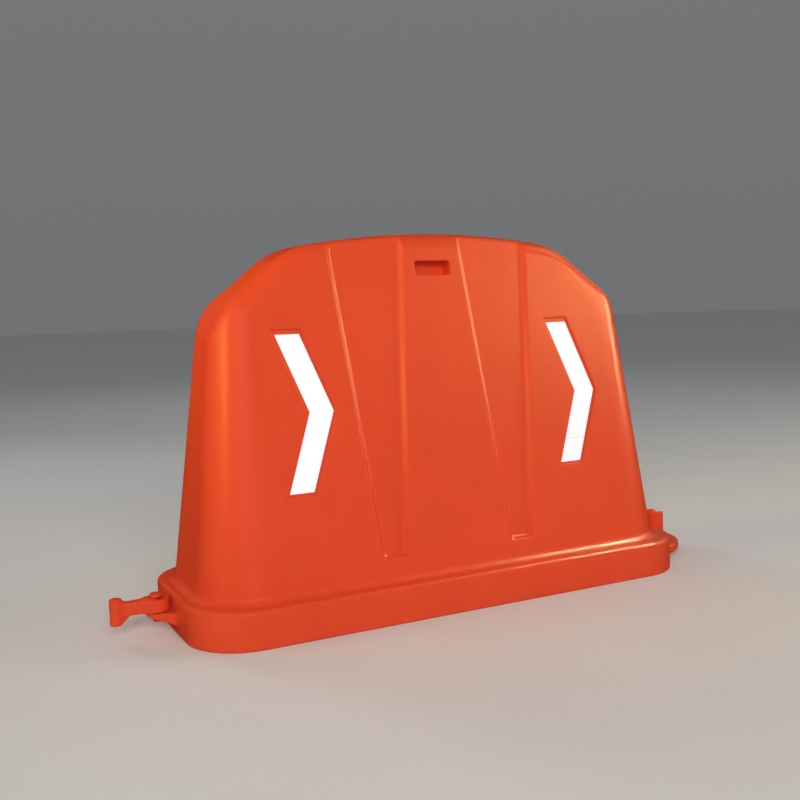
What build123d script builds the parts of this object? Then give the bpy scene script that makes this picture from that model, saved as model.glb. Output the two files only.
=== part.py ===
from build123d import *
import os
from math import cos, atan, radians, sin

os.makedirs("parts", exist_ok=True)

# ---------------------------------------------------------------- dimensions (mm)
# Frame: +Z up, origin on the floor under the centre of the plinth, +X along the
# barrier towards the receiver end, -Y is the front face.
wall = 5.0                 # moulded wall thickness

# plinth flange round the foot
plinth_len = 1186.0
plinth_wid = 452.0
plinth_rad = 122.0
plinth_h = 78.0
plinth_rim = 8.0           # rounding of the upper rim
ledge_fillet = 18.0        # hollow fillet between ledge and body

# tapered body
height = 800.0             # floor to crown of the arch
body_half_len = 562.0      # at plinth_h
body_half_wid = 191.9      # at plinth_h
draft_x = 0.1155           # ends lean in, mm per mm
draft_y = 0.158            # faces lean in, mm per mm
corner_low = 118.0         # plan corner radius at plinth_h
corner_high = 56.0         # plan corner radius at full height
arch_x = 332.0             # arch ends here, chamfer begins
arch_z = 771.0
shoulder_x = 472.0         # chamfer ends here, steeper shoulder begins
shoulder_z = 654.2
shoulder_low_x = 502.0     # shoulder meets the end here
shoulder_low_z = 597.8
arch_blend = 180.0         # rounding between arch and chamfer
shoulder_blend = 100.0     # rounding between chamfer and shoulder
top_round = 40.0           # rounding of the upper edge loop

# flutes in the faces: wide at the top, narrow at the foot
face_mid = -9.0            # flutes and hand slot sit about this line, seen square on to a face
flute_x = 156.0            # flute centre line, either side of face_mid
flute_half_top = 89.0      # half width at flute_z_top
flute_half_low = 31.0      # half width at flute_z_low
flute_z_top = 770.0
flute_z_low = 126.0
flute_depth = 12.0
flute_side = 9.0           # how far a side wall runs in over the depth
flute_foot = 6.0           # how far the foot wall runs in over the depth

# chevron pockets and the sheets in them
chev_x = 327.5             # centre of the chevron, either side of the middle
chev_z = 438.5
chev_band = 52.0           # band width measured along X
chev_half_h = 158.0
chev_tip = 59.0            # how far the tip leads the ends
pocket_gap = 5.5           # pocket edge beyond the sheet's long sides
pocket_top = 10.0          # pocket edge above the sheet
pocket_foot = 6.0          # pocket edge below the sheet
pocket_depth = 4.5
sheet_t = 1.0
splice_z = 331.0           # joint in the front right sheet
splice_gap = 0.6

# hand slots high in each face
slot_w = 86.0
slot_h = 30.0
slot_z = 725.0
slot_deep = 34.0
slot_rad = 6.0

# coupling at the left end: bracket, pin, swinging link with an upright tee head
end_x = plinth_len / 2
pin_x = -624.0
pin_r = 8.0
pin_head_r = 13.0
pin_head_z = 75.0
pin_head_h = 8.0
pin_foot_z = 24.0
bracket_low = 20.0
bracket_top = 44.0
bracket_r = 21.0
knuckle_r = 26.0
knuckle_low = 46.4
knuckle_top = 72.6
bush_r = 11.0
bush_clear = 0.06
tee_x = -705.0
tee_r = 12.5
tee_low = 28.0
tee_top = 83.0
arm_half_root = 15.0
arm_half_tip = 8.5

# coupling at the right end: half-round tongue and upright slotted sleeve
tongue_r = 120.0
tongue_low = 9.0
tongue_top = 30.0
sleeve_x = 671.0
sleeve_ro = 25.0
sleeve_ri = 14.5
sleeve_top = 93.0
sleeve_floor = 22.0
sleeve_slot = 19.0
sleeve_slot_z = 41.0
sleeve_lead_w = 7.5        # flare of the slot mouth, each side
sleeve_lead_h = 13.0       # and its depth

# ballast filler, sunk in the crown
fill_recess_r = 46.0
fill_floor = 770.0
neck_ro = 25.0
neck_ri = 20.0
neck_low = 745.0
neck_top = 787.0
neck_flange_r = 33.0
neck_flange_t = 3.0
fill_gasket_t = 2.0
cap_r = 33.0
cap_skirt_r = 26.0
cap_skirt_z = 775.5
cap_top = 794.0
cap_grip_h = 5.0

# drain, sunk in the rear plinth wall
drain_x = 300.0
drain_z = 36.0
drain_pocket_r = 26.0
drain_pocket_deep = 18.0
drain_bush_ro = 15.0
drain_bush_ri = 11.0
drain_bush_len = 28.0
drain_flange_r = 19.0
drain_flange_t = 3.0
drain_gasket_t = 2.0
plug_head_r = 20.0
plug_head_t = 5.0
plug_grip_t = 7.0
plug_clear = 0.06


# ---------------------------------------------------------------- helpers
def a(z):
    return body_half_len - draft_x * (z - plinth_h)


def b(z):
    return body_half_wid - draft_y * (z - plinth_h)


def corner(z):
    return corner_low + (corner_high - corner_low) * (z - plinth_h) / (height - plinth_h)


def rounded(length, width, radius, z):
    return Plane.XY.offset(z) * RectangleRounded(length, width, radius)


def frustum(inset, z0, z1):
    """tapered block with rounded plan corners, pulled in by inset all round"""
    return loft(
        [
            rounded(2 * (a(z) - inset), 2 * (b(z) - inset), corner(z) - inset, z)
            for z in (z0, z1)
        ],
        ruled=True,
    )


def under_roof(inset):
    """everything below the arch, the two chamfers and the two steep shoulders"""
    crown = height - inset
    # the corner points move in along the bisectors of the faces that meet there
    xj, zj = arch_x - inset * 0.445, arch_z - inset * 0.931
    xs, zs = shoulder_x - inset * 0.791, shoulder_z - inset * 0.643
    steep = (shoulder_low_z - shoulder_z) / (shoulder_low_x - shoulder_x)
    xo = 640.0
    zo = zs + steep * (xo - xs)
    edge = [
        Line((-xo, -60), (xo, -60)),
        Line((xo, -60), (xo, zo)),
        Line((xo, zo), (xs, zs)),
        Line((xs, zs), (xj, zj)),
        ThreePointArc((xj, zj), (0, crown), (-xj, zj)),
        Line((-xj, zj), (-xs, zs)),
        Line((-xs, zs), (-xo, zo)),
        Line((-xo, zo), (-xo, -60)),
    ]
    face = make_face(edge)
    joints = [v for v in face.vertices() if abs(abs(v.X) - xj) < 0.5 and v.Y > 600]
    face = fillet(joints, arch_blend)
    joints = [v for v in face.vertices() if abs(abs(v.X) - xs) < 0.5 and v.Y > 600]
    face = fillet(joints, shoulder_blend)
    return extrude(Plane.XZ * face, 400, both=True)


def face_plane(x, z, front=True):
    """plane lying on the front or rear face, x to the right when facing it, normal outwards"""
    if front:
        return Plane(origin=(x, -b(z), z), x_dir=(1, 0, 0), z_dir=(0, -1, draft_y))
    return Plane(origin=(x, b(z), z), x_dir=(-1, 0, 0), z_dir=(0, 1, draft_y))


up = (1 + draft_y**2) ** 0.5   # length along the face per mm of height


def flute_cutter(front, side, grow):
    """tapered channel from outside the face to its floor; grow makes the inner skin of the wall"""
    zc = flute_z_low
    x = face_mid + side * flute_x
    pl = face_plane(x if front else -x, zc, front)
    h = (flute_z_top - flute_z_low) * up
    over = 1.35                     # runs out through the crown

    def quad(inset, foot):
        lo = flute_half_low - inset
        hi = flute_half_low + (flute_half_top - flute_half_low) * over - inset
        return Polygon((-lo, foot), (lo, foot), (hi, h * over), (-hi, h * over), align=None)

    g = grow
    d = flute_depth + grow
    outside = 12.0                  # start proud of the face so that the rim is cut clean
    k_side = flute_side / flute_depth
    k_foot = flute_foot / flute_depth
    top = quad(-outside * k_side - g, -outside * k_foot - g)
    low = quad(flute_depth * k_side - g, flute_depth * k_foot - g)
    if grow:
        low = quad(d * k_side - g - 2, d * k_foot - g - 2)
    return loft([pl.offset(outside) * top, pl.offset(-d) * low], ruled=True)


def chevron(front, side, grow, top, foot, lo, hi):
    """chevron prism between two levels of the face plane (0 is the face, minus is inwards);
    grow, top and foot widen its long sides, its upper end and its lower end"""
    pl = face_plane(side * chev_x if front else -side * chev_x, chev_z, front)
    hh = chev_half_h * up
    w = chev_band / 2
    t = chev_tip / 2
    # grow along the band by a parallel offset of the outline
    ang = atan(chev_tip / hh)
    gx = grow / cos(ang)
    run_top = chev_tip * top / hh
    run_foot = chev_tip * foot / hh
    pts = [
        (-t - w - gx - run_foot, -hh - foot),
        (-t + w + gx - run_foot, -hh - foot),
        (t + w + gx, 0),
        (-t + w + gx - run_top, hh + top),
        (-t - w - gx - run_top, hh + top),
        (t - w - gx, 0),
    ]
    return extrude(pl.offset(lo) * Polygon(*pts, align=None), hi - lo)


def hand_slot(front, grow):
    # square to the barrier, not to the leaning face
    y = -b(slot_z) if front else b(slot_z)
    s = -1 if front else 1
    base = Plane(origin=(-s * face_mid, y + s * 40, slot_z), x_dir=(1, 0, 0), z_dir=(0, -s, 0))
    return extrude(
        base * RectangleRounded(slot_w + 2 * grow, slot_h + 2 * grow, slot_rad + grow),
        40 + slot_deep + grow,
    )


def disc(r, z0, z1, x=0.0, y=0.0):
    return Pos(x, y, z0) * Cylinder(r, z1 - z0, align=(Align.CENTER, Align.CENTER, Align.MIN))


def ring(ro, ri, z0, z1, x=0.0, y=0.0):
    return disc(ro, z0, z1, x, y) - disc(ri, z0 - 1, z1 + 1, x, y)


drain_plane = Plane(
    origin=(drain_x, plinth_wid / 2, drain_z), x_dir=(-1, 0, 0), z_dir=(0, 1, 0)
)


def drain_disc(r, d0, d1):
    """disc on the drain axis between two depths, measured outwards from the plinth wall"""
    return drain_plane * (
        Pos(0, 0, d0) * Cylinder(r, d1 - d0, align=(Align.CENTER, Align.CENTER, Align.MIN))
    )


def save(part, node):
    part.label = node
    export_step(part, f"parts/{node}.step")


def solid_of(shape):
    s = shape.solids()
    if len(s) == 1:
        return s[0]
    return Compound(children=list(s))


def crowned(inset, z0, radius):
    """tapered block under the roof, its upper edge loop rounded"""
    block = (frustum(inset, z0, height + 40) & under_roof(inset)).solids()[0]
    loop = [
        e
        for e in block.edges()
        if e.center().Z > 560 and not (abs(e.center().Y) < 1 and abs(e.center().X) < 490)
    ]
    return block.fillet(radius, loop)


# ---------------------------------------------------------------- outer form
body = crowned(0, plinth_h - 8, top_round)

plinth = extrude(RectangleRounded(plinth_len, plinth_wid, plinth_rad), plinth_h)
plinth = fillet(plinth.edges().group_by(Axis.Z)[-1], plinth_rim)
plinth = fillet(plinth.edges().group_by(Axis.Z)[0], 3.0)
outer = plinth + body
junction = [
    e
    for e in outer.edges()
    if abs(e.center().Z - plinth_h) < 0.01
    and abs(e.bounding_box().size.Z) < 0.01
    and abs(e.center().X) < body_half_len + 1
    and abs(e.center().Y) < body_half_wid + 1
]
# keep only the loop where the body stands on the ledge
junction = [e for e in junction if all(abs(abs(v.X) - plinth_len / 2 + plinth_rim) > 1 for v in e.vertices())]
junction = [
    e
    for e in junction
    if max(abs(v.Y) for v in e.vertices()) < body_half_wid + 1
    and max(abs(v.X) for v in e.vertices()) < body_half_len + 1
]
print("ledge edges", len(junction))
outer = fillet(junction, ledge_fillet)
outer = outer.solids()[0]

# ---------------------------------------------------------------- ballast space inside
cavity = crowned(wall, plinth_h - wall - 10, top_round - wall)
cavity = cavity + extrude(
    Plane.XY.offset(wall)
    * RectangleRounded(plinth_len - 2 * wall, plinth_wid - 2 * wall, plinth_rad - wall),
    plinth_h - 2 * wall,
)

# ---------------------------------------------------------------- recesses
cuts = []
for front in (True, False):
    for side in (-1, 1):
        cuts.append((flute_cutter(front, side, 0), flute_cutter(front, side, wall)))
        cuts.append(
            (
                chevron(front, side, pocket_gap, pocket_top, pocket_foot, -pocket_depth, 14),
                chevron(
                    front, side, pocket_gap + wall, pocket_top + wall, pocket_foot + wall,
                    -pocket_depth - wall, 14,
                ),
            )
        )
    cuts.append((hand_slot(front, 0), hand_slot(front, wall)))
cuts.append((disc(fill_recess_r, fill_floor, 830), disc(fill_recess_r + wall, fill_floor - wall, 830)))
cuts.append(
    (
        drain_disc(drain_pocket_r, -drain_pocket_deep, 20),
        drain_disc(drain_pocket_r + wall, -drain_pocket_deep - wall, 20),
    )
)
shell = outer
for cut, skin in cuts:
    shell = shell - cut
    cavity = cavity - skin
shell = shell - cavity

# holes for the filler neck and the drain bush
shell = shell - disc(neck_ro, fill_floor - wall - 3, fill_floor + 1)
shell = shell - drain_disc(drain_bush_ro, -drain_pocket_deep - wall - 3, -drain_pocket_deep + 1)

# ---------------------------------------------------------------- end fittings moulded with the shell
# left bracket: underside rises from the wall to the nose
brk = Plane.XZ * Polygon(
    (-end_x + 4, bracket_low),
    (-end_x - 6, bracket_low),
    (pin_x - bracket_r, bracket_top - 7),
    (pin_x - bracket_r, bracket_top),
    (-end_x + 4, bracket_top),
    align=None,
)
brk = extrude(brk, 60, both=True)
plan = Polygon(
    (-end_x + 4, -44), (-end_x + 4, 44), (-end_x - 2, 40), (pin_x + 4, bracket_r - 1), (pin_x + 4, -bracket_r + 1), (-end_x - 2, -40), align=None
) + Pos(pin_x, 0) * Circle(bracket_r)
brk = brk & extrude(plan, 200)
brk = brk - disc(pin_r, pin_foot_z, bracket_top + 1, pin_x)

# right tongue: half-round shelf with a rounded edge, and a web up to the sleeve
tongue = disc(tongue_r, tongue_low, tongue_top, end_x)
tongue = fillet(tongue.edges().filter_by(GeomType.CIRCLE), 5.0)
keep = Pos(end_x - 4, 0, 0) * Box(300, 300, 200, align=(Align.MIN, Align.CENTER, Align.CENTER))
tongue = tongue & keep
web = Pos(end_x - 4, 0, tongue_top - 4) * Box(
    sleeve_x - end_x, 16, 44, align=(Align.MIN, Align.CENTER, Align.MIN)
)
web_cut = Plane.XZ * Polygon(
    (end_x - 4, tongue_top - 4), (sleeve_x, tongue_top - 4), (sleeve_x, 74), (end_x - 4, 60), align=None
)
web = web & extrude(web_cut, 40, both=True)
tongue = tongue + web - disc(sleeve_ro, -5, 120, sleeve_x)

shell = shell + brk + tongue
shell = solid_of(shell)
print("shell", type(shell).__name__, "solids", len(shell.solids()), "volume", round(shell.volume / 1e6, 2), "litres")
save(shell, "barrier_shell")

# ---------------------------------------------------------------- retroreflective sheets
def sheet(front, side):
    return chevron(front, side, 0, 0, 0, -pocket_depth, -pocket_depth + sheet_t)


save(sheet(True, -1), "front_left_chevron")
whole = sheet(True, 1)
upper_half = Pos(0, 0, splice_z + splice_gap / 2) * Box(3000, 3000, 900, align=(Align.CENTER, Align.CENTER, Align.MIN))
lower_half = Pos(0, 0, splice_z - splice_gap / 2) * Box(3000, 3000, 900, align=(Align.CENTER, Align.CENTER, Align.MAX))
save(whole & upper_half, "front_right_chevron_upper")
save(whole & lower_half, "front_right_chevron_lower")
save(sheet(False, -1), "rear_left_chevron")
save(sheet(False, 1), "rear_right_chevron")

# ---------------------------------------------------------------- swinging link and its pin
knuckle = ring(knuckle_r, bush_r, knuckle_low, knuckle_top, pin_x)
arm_plan = Polygon(
    (pin_x - 10, -arm_half_root - 3),
    (pin_x - 10, arm_half_root + 3),
    (tee_x + 6, arm_half_tip),
    (tee_x + 6, -arm_half_tip),
    align=None,
)
arm = extrude(Plane.XY.offset(knuckle_low) * arm_plan, knuckle_top - knuckle_low)
arm = arm - disc(bush_r + 2, 0, 120, pin_x)
tee = disc(tee_r, tee_low, tee_top, tee_x)
tee = fillet(tee.edges().filter_by(GeomType.CIRCLE), 4.0)
gusset = Plane.XZ * Polygon(
    (tee_x, tee_low + 8), (tee_x + tee_r + 3, tee_low + 8), (tee_x + tee_r + 16, knuckle_low + 2), (tee_x, knuckle_low + 2), align=None
)
gusset = extrude(gusset, arm_half_tip - 2.5, both=True)
lip = Plane.XZ * Polygon(
    (tee_x, knuckle_top - 2), (tee_x + tee_r + 12, knuckle_top - 2), (tee_x + tee_r + 3, tee_top - 8), (tee_x, tee_top - 8), align=None
)
lip = extrude(lip, arm_half_tip - 2.5, both=True)
link = knuckle + arm + tee + gusset + lip
link = link - disc(bush_r, 0, 120, pin_x)
save(solid_of(link), "coupling_link")

save(solid_of(ring(bush_r, pin_r + bush_clear, knuckle_low, knuckle_top, pin_x)), "link_bush")

pin = disc(pin_r, pin_foot_z, pin_head_z + 1, pin_x)
head = disc(pin_head_r, pin_head_z, pin_head_z + pin_head_h, pin_x)
head = fillet(head.edges().filter_by(GeomType.CIRCLE).group_by(Axis.Z)[-1], 5.0)
save(solid_of(pin + head), "coupling_hinge_pin")
save(solid_of(ring(12.5, pin_r + 0.3, knuckle_top + 0.4, pin_head_z, pin_x)), "hinge_top_washer")
save(solid_of(ring(20.0, pin_r + 0.3, bracket_top, knuckle_low - 0.4, pin_x)), "hinge_thrust_washer")

# ---------------------------------------------------------------- receiver sleeve
sleeve = disc(sleeve_ro, tongue_low, sleeve_top, sleeve_x)
sleeve = fillet(sleeve.edges().filter_by(GeomType.CIRCLE).group_by(Axis.Z)[-1], 4.0)
sleeve = sleeve - disc(sleeve_ri, sleeve_floor, sleeve_top + 5, sleeve_x)
sleeve = sleeve - Pos(sleeve_x, 0, sleeve_slot_z) * Box(
    60, sleeve_slot, 100, align=(Align.MIN, Align.CENTER, Align.MIN)
)
# mouth of the slot opens out so that the arm of the next barrier finds its way in
half_slot = sleeve_slot / 2
lead = Plane.YZ.offset(sleeve_x + 8) * Polygon(
    (-half_slot, sleeve_top - sleeve_lead_h),
    (half_slot, sleeve_top - sleeve_lead_h),
    (half_slot + 1.4 * sleeve_lead_w, sleeve_top + 0.4 * sleeve_lead_h),
    (-half_slot - 1.4 * sleeve_lead_w, sleeve_top + 0.4 * sleeve_lead_h),
    align=None,
)
sleeve = sleeve - extrude(lead, 60)
save(solid_of(sleeve), "receiver_sleeve")

# ---------------------------------------------------------------- filler
neck = ring(neck_ro, neck_ri, neck_low, neck_top) + ring(
    neck_flange_r - 2, neck_ri, fill_floor, fill_floor + neck_flange_t
)
save(solid_of(neck), "fill_neck_insert")
save(solid_of(ring(neck_ro, neck_ri + 0.5, neck_top, neck_top + fill_gasket_t)), "fill_cap_gasket")
cap_low = neck_top + fill_gasket_t
cap = ring(cap_r, cap_skirt_r, cap_skirt_z, cap_low) + disc(cap_r, cap_low, cap_top)
cap = fillet(cap.edges().filter_by(GeomType.CIRCLE).group_by(Axis.Z)[-1], 2.0)
for i in range(24):
    ang = radians(i * 15)
    cap = cap - disc(2.0, cap_skirt_z - 1, cap_top - 4, (cap_r + 0.9) * cos(ang), (cap_r + 0.9) * sin(ang))
for turn in (0, 90):
    bar = Rot(0, 0, turn) * (Pos(0, 0, cap_top - 1) * Box(54, 9, cap_grip_h + 1, align=(Align.CENTER, Align.CENTER, Align.MIN)))
    cap = cap + bar
save(solid_of(cap), "fill_cap")

# ---------------------------------------------------------------- drain
d0 = -drain_pocket_deep
bush = drain_disc(drain_bush_ro, d0 - drain_bush_len, d0) + drain_disc(drain_flange_r, d0, d0 + drain_flange_t)
bush = bush - drain_disc(drain_bush_ri, d0 - drain_bush_len - 1, d0 + drain_flange_t + 1)
save(solid_of(bush), "drain_bush")
g0 = d0 + drain_flange_t
gasket = drain_disc(drain_bush_ri + 6, g0, g0 + drain_gasket_t) - drain_disc(drain_bush_ri + 0.5, g0 - 1, g0 + drain_gasket_t + 1)
save(solid_of(gasket), "drain_plug_gasket")
h0 = g0 + drain_gasket_t
plug = drain_disc(drain_bush_ri - plug_clear, d0 - drain_bush_len + 4, h0 + 1) + drain_disc(plug_head_r, h0, h0 + plug_head_t)
plug = plug + drain_plane * (
    Pos(0, 0, h0 + plug_head_t - 1) * Box(34, 8, plug_grip_t - 1, align=(Align.CENTER, Align.CENTER, Align.MIN))
)
save(solid_of(plug), "drain_plug")
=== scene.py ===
import math
import bpy
import numpy as np
from mathutils import Matrix, Vector


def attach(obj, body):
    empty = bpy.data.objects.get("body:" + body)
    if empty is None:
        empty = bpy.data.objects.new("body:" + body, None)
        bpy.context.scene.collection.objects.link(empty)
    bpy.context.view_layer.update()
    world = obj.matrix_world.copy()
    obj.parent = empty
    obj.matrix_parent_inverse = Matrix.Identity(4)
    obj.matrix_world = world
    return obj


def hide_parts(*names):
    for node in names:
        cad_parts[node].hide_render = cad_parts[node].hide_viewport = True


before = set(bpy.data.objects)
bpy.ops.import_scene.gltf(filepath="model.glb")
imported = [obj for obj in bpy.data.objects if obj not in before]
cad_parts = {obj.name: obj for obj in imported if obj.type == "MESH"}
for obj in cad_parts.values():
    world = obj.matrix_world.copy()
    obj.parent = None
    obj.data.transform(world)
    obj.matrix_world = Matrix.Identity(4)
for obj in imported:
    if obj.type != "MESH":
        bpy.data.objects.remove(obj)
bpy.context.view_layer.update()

MM = 0.001

# ------------------------------------------------------------------ dimensions (mm)
PL_X, PL_Y, PL_R, PL_H = 593.0, 226.0, 122.0, 78.0
RIM, LEDGE_F, BOT_R = 8.0, 18.0, 3.0
BODY_X, BODY_Y, DRX, DRY = 562.0, 191.9, 0.1155, 0.158
C_LOW, C_HIGH, TOP = 118.0, 56.0, 800.0
C_RATE = (C_LOW - C_HIGH) / (TOP - PL_H)
ARCH_X, ARCH_Z, ARCH_BLEND = 332.0, 771.0, 180.0
SH_X, SH_Z, SH_LX, SH_LZ, SH_BLEND = 472.0, 654.2, 502.0, 597.8, 100.0
TOP_ROUND, END_ROUND = 40.0, 64.0
MID = -9.0
FL_X, FL_TOP, FL_LOW, FL_ZT, FL_ZL, FL_D, FL_SIDE, FL_FOOT = 156.0, 89.0, 31.0, 770.0, 126.0, 12.0, 9.0, 6.0
CH_X, CH_Z, CH_BAND, CH_HH, CH_TIP = 327.5, 438.5, 52.0, 158.0, 59.0
PK_GAP, PK_TOP, PK_FOOT, PK_D = 5.5, 10.0, 6.0, 4.5
SLOT_W, SLOT_H, SLOT_Z, SLOT_D, SLOT_R = 86.0, 30.0, 725.0, 34.0, 6.0
UP = math.sqrt(1 + DRY * DRY)


def A(z):
    return BODY_X - DRX * (z - PL_H)


def B(z):
    return BODY_Y - DRY * (z - PL_H)


def C(z):
    return C_LOW - C_RATE * (z - PL_H)


# ------------------------------------------------------------------ distance fields
def rmax(d1, d2, r, c=0.0):
    """intersection of two half spaces with the edge rounded to radius r; c is the cosine between their normals"""
    u, v = d1 + r, d2 + r
    m = (u - c * v > 0) & (v - c * u > 0)
    q = np.sqrt(np.maximum((u * u + v * v - 2 * c * u * v) / (1 - c * c), 0)) - r
    return np.where(m, q, np.maximum(d1, d2))


def rmin(d1, d2, r, c=0.0):
    return -rmax(-d1, -d2, r, c)


ARC_R = (ARCH_X ** 2 + (TOP - ARCH_Z) ** 2) / (2 * (TOP - ARCH_Z))
ARC_CZ = TOP - ARC_R
SLOPE = (SH_Z - ARCH_Z) / (SH_X - ARCH_X)
STEEP = (SH_LZ - SH_Z) / (SH_LX - SH_X)
_n1, _n2 = math.sqrt(1 + SLOPE * SLOPE), math.sqrt(1 + STEEP * STEEP)


def _blend_centre():
    """centre of the rounding between the arch and the chamfer, and where it touches both"""
    nx, nz = -SLOPE / _n1, 1 / _n1
    lo, hi = 200.0, 460.0
    for _ in range(80):
        x = (lo + hi) / 2
        cx = x - ARCH_BLEND * nx
        cz = ARCH_Z + SLOPE * (x - ARCH_X) - ARCH_BLEND * nz
        # further out along the chamfer the centre drops inside the arch
        if math.hypot(cx, cz - ARC_CZ) > ARC_R - ARCH_BLEND:
            lo = x
        else:
            hi = x
    return cx, cz, cx / math.hypot(cx, cz - ARC_CZ) * ARC_R, x


BL_CX, BL_CZ, T1, T2 = _blend_centre()
_half = math.tan((math.atan(-STEEP) - math.atan(-SLOPE)) / 2) * SH_BLEND
T3, T4 = SH_X - _half / _n1, SH_X + _half / _n2
SB_CX = T3 + SLOPE / _n1 * SH_BLEND
SB_CZ = SH_Z + SLOPE * (T3 - SH_X) - SH_BLEND / _n1


def roof(x, plain=False):
    """height and slope of the roof line; plain leaves the chamfer straight to the end"""
    ax = np.abs(x)
    arc = np.sqrt(np.maximum(ARC_R ** 2 - ax ** 2, 1.0))
    h, s = ARC_CZ + arc, -ax / arc
    bl = np.sqrt(np.maximum(ARCH_BLEND ** 2 - (ax - BL_CX) ** 2, 1.0))
    h, s = np.where(ax < T1, h, BL_CZ + bl), np.where(ax < T1, s, -(ax - BL_CX) / bl)
    h, s = np.where(ax < T2, h, ARCH_Z + SLOPE * (ax - ARCH_X)), np.where(ax < T2, s, SLOPE)
    if not plain:
        bl = np.sqrt(np.maximum(SH_BLEND ** 2 - (ax - SB_CX) ** 2, 1.0))
        h, s = np.where(ax < T3, h, SB_CZ + bl), np.where(ax < T3, s, -(ax - SB_CX) / bl)
        h, s = np.where(ax < T4, h, SH_Z + STEEP * (ax - SH_X)), np.where(ax < T4, s, STEEP)
    return h, s * np.sign(x)


def f_side(p):
    x, y, z = p[..., 0], p[..., 1], p[..., 2]
    c = C(z)
    qx, qy = np.abs(x) - (A(z) - c), np.abs(y) - (B(z) - c)
    mx, my = np.maximum(qx, 0), np.maximum(qy, 0)
    ln = np.hypot(mx, my)
    d = ln + np.minimum(np.maximum(qx, qy), 0) - c
    cor = ln > 1e-9
    safe = np.where(cor, ln, 1.0)
    nx = np.where(cor, mx / safe, (qx > qy) * 1.0)
    ny = np.where(cor, my / safe, (qx <= qy) * 1.0)
    dz = nx * (DRX - C_RATE) + ny * (DRY - C_RATE) + C_RATE
    g = 1 / np.sqrt(1 + dz * dz)
    return d * g, np.stack([nx * np.sign(x) * g, ny * np.sign(y) * g, dz * g], -1)


def f_roof(p, plain=False):
    h, s = roof(p[..., 0], plain)
    g = 1 / np.sqrt(1 + s * s)
    return (p[..., 2] - h) * g, np.stack([-s * g, np.zeros_like(s), g], -1)


def f_body(p):
    d1, n1 = f_side(p)
    d2, n2 = f_roof(p)
    c = np.clip((n1 * n2).sum(-1), -0.5, 0.97)
    return rmax(d1, d2, TOP_ROUND, c)


def poly_sd(u, v, pts):
    d = np.full(u.shape, 1e18)
    s = np.ones(u.shape)
    n = len(pts)
    for i in range(n):
        (ax, ay), (bx, by) = pts[i], pts[i - 1]
        ex, ey = bx - ax, by - ay
        wx, wy = u - ax, v - ay
        t = np.clip((wx * ex + wy * ey) / (ex * ex + ey * ey), 0, 1)
        d = np.minimum(d, (wx - ex * t) ** 2 + (wy - ey * t) ** 2)
        c1, c2, c3 = v >= ay, v < by, ex * wy > ey * wx
        s = np.where((c1 & c2 & c3) | (~c1 & ~c2 & ~c3), -s, s)
    return s * np.sqrt(d)


HH = CH_HH * UP
_gx = PK_GAP / math.cos(math.atan(CH_TIP / HH))
_t, _w = CH_TIP / 2, CH_BAND / 2
_rt, _rf = CH_TIP * PK_TOP / HH, CH_TIP * PK_FOOT / HH
POCKET = [
    (-_t - _w - _gx - _rf, -HH - PK_FOOT), (-_t + _w + _gx - _rf, -HH - PK_FOOT), (_t + _w + _gx, 0.0),
    (-_t + _w + _gx - _rt, HH + PK_TOP), (-_t - _w - _gx - _rt, HH + PK_TOP), (_t - _w - _gx, 0.0),
]
K_S, K_F = FL_SIDE / FL_D, FL_FOOT / FL_D
W_RATE = (FL_TOP - FL_LOW) / ((FL_ZT - FL_ZL) * UP)
N_S, N_F = math.sqrt(1 + K_S ** 2 + W_RATE ** 2), math.sqrt(1 + K_F ** 2)
FL_RIM_R, FL_FLOOR_R = 4.0, 7.0
PK_RIM_R, PK_FLOOR_R = 1.6, 1.2


def face_coords(p, z0):
    """outward distance and run up the face, both measured in the leaning face plane (front and rear alike)"""
    y = -np.abs(p[..., 1])
    dy, dz = y + B(z0), p[..., 2] - z0
    return (-dy + DRY * dz) / UP, (DRY * dy + dz) / UP


def f_outer(p):
    f = f_body(p)
    sg = np.where(p[..., 1] > 0, -1.0, 1.0)
    x = p[..., 0] * sg
    # flutes, set out about the middle line of the face
    dn, s = face_coords(p, FL_ZL)
    u = np.abs(np.abs(x - MID) - FL_X)
    wall = (u - (FL_LOW + W_RATE * s) - K_S * dn) / N_S
    foot = (-s - K_F * dn) / N_F
    g = rmax(wall, foot, 9.0, 0.25)
    g = rmax(g, -(dn + FL_D), FL_FLOOR_R, 0.52)
    f = rmax(f, -g, FL_RIM_R, 0.52)
    # chevron pockets
    dn, s = face_coords(p, CH_Z)
    u = np.where(x > 0, x - CH_X, x + CH_X)
    g = rmax(poly_sd(u, s, POCKET), -(dn + PK_D), PK_FLOOR_R)
    return rmax(f, -g, PK_RIM_R)


def march(f, start, way, tmax, steps=60):
    t = np.zeros(len(start))
    for _ in range(steps):
        t = np.clip(t + 0.85 * f(start + t[:, None] * way), -1.0, tmax)
    return start + t[:, None] * way


def gradient(f, p, e=0.04):
    g = np.zeros_like(p)
    for i in range(3):
        d = np.zeros(3)
        d[i] = e
        g[:, i] = f(p + d) - f(p - d)
    return g / np.maximum(np.linalg.norm(g, axis=1), 1e-12)[:, None]


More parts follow.
